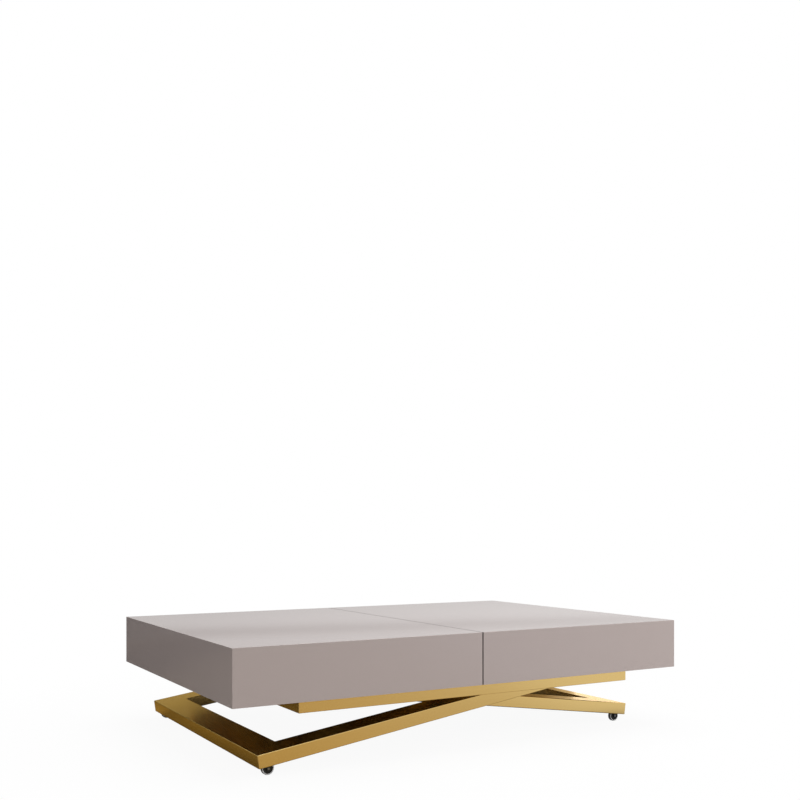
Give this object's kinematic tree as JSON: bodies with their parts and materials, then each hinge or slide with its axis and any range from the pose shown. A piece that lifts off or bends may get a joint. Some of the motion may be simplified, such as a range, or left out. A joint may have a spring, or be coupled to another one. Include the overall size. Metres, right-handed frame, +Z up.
{
  "type": "extending coffee table",
  "caption": "Low rectangular box-top coffee table on a crossed scissor base with castors; the base lifts the top to dining height and the halves slide apart for extension leaves.",
  "frame": {"origin": "on the floor under the middle of the table at its lowest position", "axes": "+X along the length towards the inner leg's wheels, +Y to the back, +Z up"},
  "size_m": [1.22, 0.82, 0.276],
  "materials": {
    "lacquered_wood": "satin taupe lacquer over board",
    "gold_steel": "brushed gold steel",
    "bright_steel": "zinc plated",
    "slide_steel": "rolled, zinc plated",
    "beam_aluminium": "mill",
    "black_plastic": "moulded",
    "wheel_plastic": "moulded with a grey tread",
    "black_enamel": "black enamel",
    "felt": "felt",
    "beech": "plain"
  },
  "bodies": {
    "left_axle": {"left_axles": "bright_steel"},
    "front_left_wheel": {"front_left_wheel": "wheel_plastic"},
    "rear_left_wheel": {"rear_left_wheel": "wheel_plastic"},
    "outer_leg": {"outer_leg_front_tube": "gold_steel", "outer_leg_rear_tube": "gold_steel", "outer_leg_foot_tube": "gold_steel", "outer_leg_caps": "black_plastic", "outer_leg_head_tie": "gold_steel", "left_axle_cheeks": "bright_steel", "scissor_pins": "bright_steel"},
    "inner_leg": {"inner_leg_front_tube": "gold_steel", "inner_leg_rear_tube": "gold_steel", "inner_leg_foot_tube": "gold_steel", "inner_leg_caps": "black_plastic", "right_axle_cheeks": "bright_steel", "right_axles": "bright_steel", "scissor_bushes": "black_plastic", "head_shaft": "bright_steel"},
    "front_right_wheel": {"front_right_wheel": "wheel_plastic"},
    "rear_right_wheel": {"rear_right_wheel": "wheel_plastic"},
    "front_track_roller": {"front_track_roller": "black_plastic"},
    "rear_track_roller": {"rear_track_roller": "black_plastic"},
    "gas_cylinder": {"gas_cylinder": "black_enamel"},
    "top_frame": {"front_rail": "gold_steel", "rear_rail": "gold_steel", "left_end_bar": "gold_steel", "right_end_bar": "gold_steel", "crossmember_1": "gold_steel", "crossmember_2": "gold_steel", "crossmember_3": "gold_steel", "crossmember_4": "gold_steel", "front_slide_beam": "beam_aluminium", "rear_slide_beam": "beam_aluminium", "slide_outers": "slide_steel", "lower_leaf": "lacquered_wood", "upper_leaf": "lacquered_wood", "leaf_pads": "felt", "head_pivots": "bright_steel", "gas_rod": "bright_steel", "spring_anchor": "bright_steel", "lever_pin": "bright_steel"},
    "release_lever": {"release_lever": "black_enamel"},
    "valve_pin": {"valve_pin": "bright_steel"},
    "right_half": {"right_top_panel": "lacquered_wood", "right_front_apron": "lacquered_wood", "right_rear_apron": "lacquered_wood", "right_end_apron": "lacquered_wood", "right_hangers": "bright_steel", "right_slide_inners": "slide_steel", "seam_pegs": "beech"},
    "left_half": {"left_top_panel": "lacquered_wood", "left_front_apron": "lacquered_wood", "left_rear_apron": "lacquered_wood", "left_end_apron": "lacquered_wood", "left_hangers": "bright_steel", "left_slide_inners": "slide_steel"},
    "right_runner": {"right_slide_runners": "slide_steel"},
    "left_runner": {"left_slide_runners": "slide_steel"}
  },
  "joints": [
    {"name": "lift", "type": "hinge", "parent": "left_axle", "child": "outer_leg", "pos_m": [-0.51392, 0, 0.014], "axis": [0, -1, 0], "range_deg": [0, 34]},
    {"name": "frame_level", "type": "hinge", "parent": "outer_leg", "child": "top_frame", "pos_m": [0.40007, 0, 0.16422], "axis": [0, -1, 0], "range_deg": [-34, 0]},
    {"name": "scissor", "type": "hinge", "parent": "outer_leg", "child": "inner_leg", "pos_m": [0, 0, 0.108], "axis": [0, -1, 0], "range_deg": [-68, 0]},
    {"name": "gas_spring_pivot", "type": "hinge", "parent": "inner_leg", "child": "gas_cylinder", "pos_m": [-0.40007, 0, 0.16422], "axis": [0, -1, 0], "range_deg": [0, 34]},
    {"name": "front_left_roll", "type": "hinge", "parent": "left_axle", "child": "front_left_wheel", "pos_m": [-0.51392, -0.359, 0.014], "axis": [0, -1, 0], "continuous": true},
    {"name": "rear_left_roll", "type": "hinge", "parent": "left_axle", "child": "rear_left_wheel", "pos_m": [-0.51392, 0.359, 0.014], "axis": [0, -1, 0], "continuous": true},
    {"name": "front_right_roll", "type": "hinge", "parent": "inner_leg", "child": "front_right_wheel", "pos_m": [0.51392, -0.282, 0.014], "axis": [0, -1, 0], "continuous": true},
    {"name": "rear_right_roll", "type": "hinge", "parent": "inner_leg", "child": "rear_right_wheel", "pos_m": [0.51392, 0.282, 0.014], "axis": [0, -1, 0], "continuous": true},
    {"name": "front_track_roll", "type": "hinge", "parent": "inner_leg", "child": "front_track_roller", "pos_m": [-0.40007, -0.386, 0.16422], "axis": [0, -1, 0], "continuous": true},
    {"name": "rear_track_roll", "type": "hinge", "parent": "inner_leg", "child": "rear_track_roller", "pos_m": [-0.40007, 0.386, 0.16422], "axis": [0, -1, 0], "continuous": true},
    {"name": "right_extend", "type": "slide", "parent": "top_frame", "child": "right_half", "axis": [1, 0, 0], "range_m": [0, 0.55]},
    {"name": "right_runner_slide", "type": "slide", "parent": "top_frame", "child": "right_runner", "axis": [1, 0, 0], "range_m": [0, 0.275]},
    {"name": "left_extend", "type": "slide", "parent": "top_frame", "child": "left_half", "axis": [-1, 0, 0], "range_m": [0, 0.55]},
    {"name": "left_runner_slide", "type": "slide", "parent": "top_frame", "child": "left_runner", "axis": [-1, 0, 0], "range_m": [0, 0.275]},
    {"name": "lever_pull", "type": "hinge", "parent": "top_frame", "child": "release_lever", "pos_m": [0.14429, 0.022, 0.16422], "axis": [0, 0, -1], "range_deg": [0, 8], "stiffness_Nm_per_rad": 2},
    {"name": "valve_press", "type": "slide", "parent": "top_frame", "child": "valve_pin", "axis": [-1, 0, 0], "range_m": [0, 0.0034]}
  ],
  "couplings": [
    {"joint": "frame_level", "follows": "lift", "ratio": -1},
    {"joint": "scissor", "follows": "lift", "ratio": -2},
    {"joint": "gas_spring_pivot", "follows": "lift", "ratio": 1},
    {"joint": "right_runner_slide", "follows": "right_extend", "ratio": 0.5},
    {"joint": "left_runner_slide", "follows": "left_extend", "ratio": 0.5},
    {"joint": "valve_press", "follows": "lever_pull", "m_per_rad": 0.024}
  ]
}
